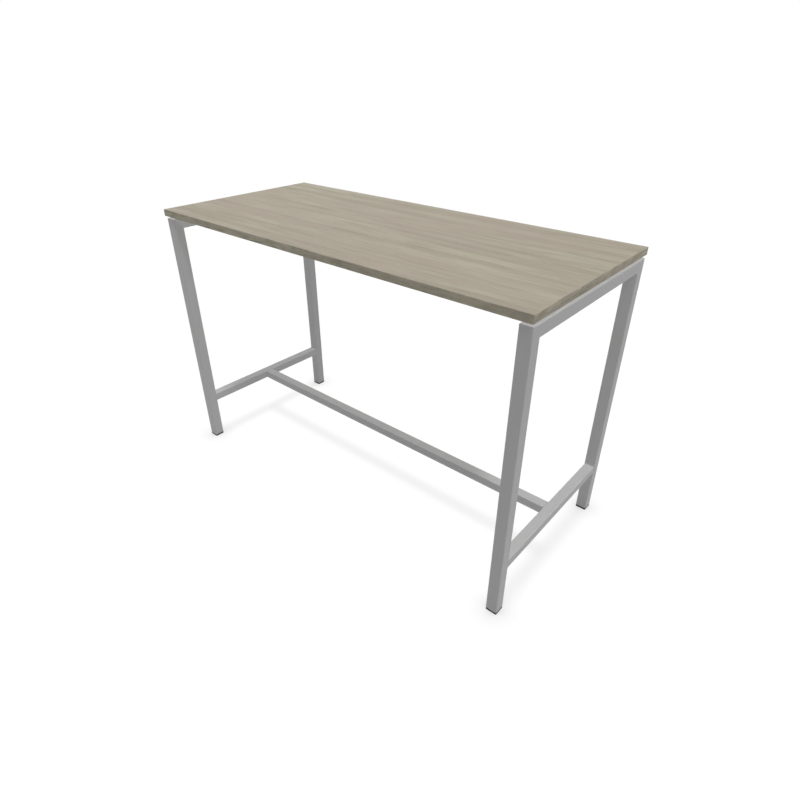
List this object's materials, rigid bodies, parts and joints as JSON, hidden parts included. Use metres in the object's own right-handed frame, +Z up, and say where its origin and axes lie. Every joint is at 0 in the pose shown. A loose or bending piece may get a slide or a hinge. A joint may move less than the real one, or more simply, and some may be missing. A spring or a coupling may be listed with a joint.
{
  "type": "standing meeting table",
  "caption": "Standing-height meeting table: a laminated rectangular board held clear of square-tube end frames, joined by a low stretcher, on screw-adjusted levelling feet.",
  "frame": {"origin": "on the floor, under the middle of the board", "axes": "+X along the board's length, +Y from the front long edge to the rear one, +Z up"},
  "size_m": [1.6, 0.71, 1.045],
  "materials": {
    "oak_laminate": "grey-beige oak decor, matt, fine streaks along the length",
    "edge_strip": "oak decor edge strip, matt",
    "powder_coat": "silver-grey powder coat, fine texture",
    "zinc_steel": "bright zinc plate",
    "black_plastic": "moulded, matt"
  },
  "bodies": {
    "table": {"top_board": "oak_laminate", "edge_band_front": "edge_strip", "edge_band_rear": "edge_strip", "edge_band_left": "edge_strip", "edge_band_right": "edge_strip", "top_rail_left": "powder_coat", "foot_rail_left": "powder_coat", "spigot_stretcher_left": "powder_coat", "bolt_stretcher_left": "zinc_steel", "top_rail_right": "powder_coat", "foot_rail_right": "powder_coat", "spigot_stretcher_right": "powder_coat", "bolt_stretcher_right": "zinc_steel", "stretcher": "powder_coat", "beam_front": "powder_coat", "beam_rear": "powder_coat", "leg_front_left": "powder_coat", "spigot_beam_front_left": "powder_coat", "bolt_beam_front_left": "zinc_steel", "foot_plug_front_left": "black_plastic", "spacer_rail_front_left": "black_plastic", "board_screw_rail_front_left": "zinc_steel", "spacer_beam_front_left": "black_plastic", "board_screw_beam_front_left": "zinc_steel", "leg_rear_left": "powder_coat", "spigot_beam_rear_left": "powder_coat", "bolt_beam_rear_left": "zinc_steel", "foot_plug_rear_left": "black_plastic", "spacer_rail_rear_left": "black_plastic", "board_screw_rail_rear_left": "zinc_steel", "spacer_beam_rear_left": "black_plastic", "board_screw_beam_rear_left": "zinc_steel", "leg_front_right": "powder_coat", "spigot_beam_front_right": "powder_coat", "bolt_beam_front_right": "zinc_steel", "foot_plug_front_right": "black_plastic", "spacer_rail_front_right": "black_plastic", "board_screw_rail_front_right": "zinc_steel", "spacer_beam_front_right": "black_plastic", "board_screw_beam_front_right": "zinc_steel", "leg_rear_right": "powder_coat", "spigot_beam_rear_right": "powder_coat", "bolt_beam_rear_right": "zinc_steel", "foot_plug_rear_right": "black_plastic", "spacer_rail_rear_right": "black_plastic", "board_screw_rail_rear_right": "zinc_steel", "spacer_beam_rear_right": "black_plastic", "board_screw_beam_rear_right": "zinc_steel"},
    "pad_front_left": {"foot_pad_front_left": "black_plastic"},
    "stem_front_left": {"foot_stem_front_left": "zinc_steel"},
    "pad_rear_left": {"foot_pad_rear_left": "black_plastic"},
    "stem_rear_left": {"foot_stem_rear_left": "zinc_steel"},
    "pad_front_right": {"foot_pad_front_right": "black_plastic"},
    "stem_front_right": {"foot_stem_front_right": "zinc_steel"},
    "pad_rear_right": {"foot_pad_rear_right": "black_plastic"},
    "stem_rear_right": {"foot_stem_rear_right": "zinc_steel"}
  },
  "joints": [
    {"name": "pad_lower_front_left", "type": "slide", "parent": "table", "child": "pad_front_left", "axis": [0, 0, -1], "range_m": [0, 0.01]},
    {"name": "stem_turn_front_left", "type": "hinge", "parent": "pad_front_left", "child": "stem_front_left", "pos_m": [-0.779, -0.328, 0.02], "axis": [0, 0, -1], "range_deg": [0, 2880]},
    {"name": "pad_lower_rear_left", "type": "slide", "parent": "table", "child": "pad_rear_left", "axis": [0, 0, -1], "range_m": [0, 0.01]},
    {"name": "stem_turn_rear_left", "type": "hinge", "parent": "pad_rear_left", "child": "stem_rear_left", "pos_m": [-0.779, 0.328, 0.02], "axis": [0, 0, -1], "range_deg": [0, 2880]},
    {"name": "pad_lower_front_right", "type": "slide", "parent": "table", "child": "pad_front_right", "axis": [0, 0, -1], "range_m": [0, 0.01]},
    {"name": "stem_turn_front_right", "type": "hinge", "parent": "pad_front_right", "child": "stem_front_right", "pos_m": [0.779, -0.328, 0.02], "axis": [0, 0, -1], "range_deg": [0, 2880]},
    {"name": "pad_lower_rear_right", "type": "slide", "parent": "table", "child": "pad_rear_right", "axis": [0, 0, -1], "range_m": [0, 0.01]},
    {"name": "stem_turn_rear_right", "type": "hinge", "parent": "pad_rear_right", "child": "stem_rear_right", "pos_m": [0.779, 0.328, 0.02], "axis": [0, 0, -1], "range_deg": [0, 2880]}
  ],
  "couplings": [
    {"joint": "pad_lower_front_left", "follows": "stem_turn_front_left", "m_per_rad": 0.00019894},
    {"joint": "pad_lower_rear_left", "follows": "stem_turn_rear_left", "m_per_rad": 0.00019894},
    {"joint": "pad_lower_front_right", "follows": "stem_turn_front_right", "m_per_rad": 0.00019894},
    {"joint": "pad_lower_rear_right", "follows": "stem_turn_rear_right", "m_per_rad": 0.00019894}
  ]
}
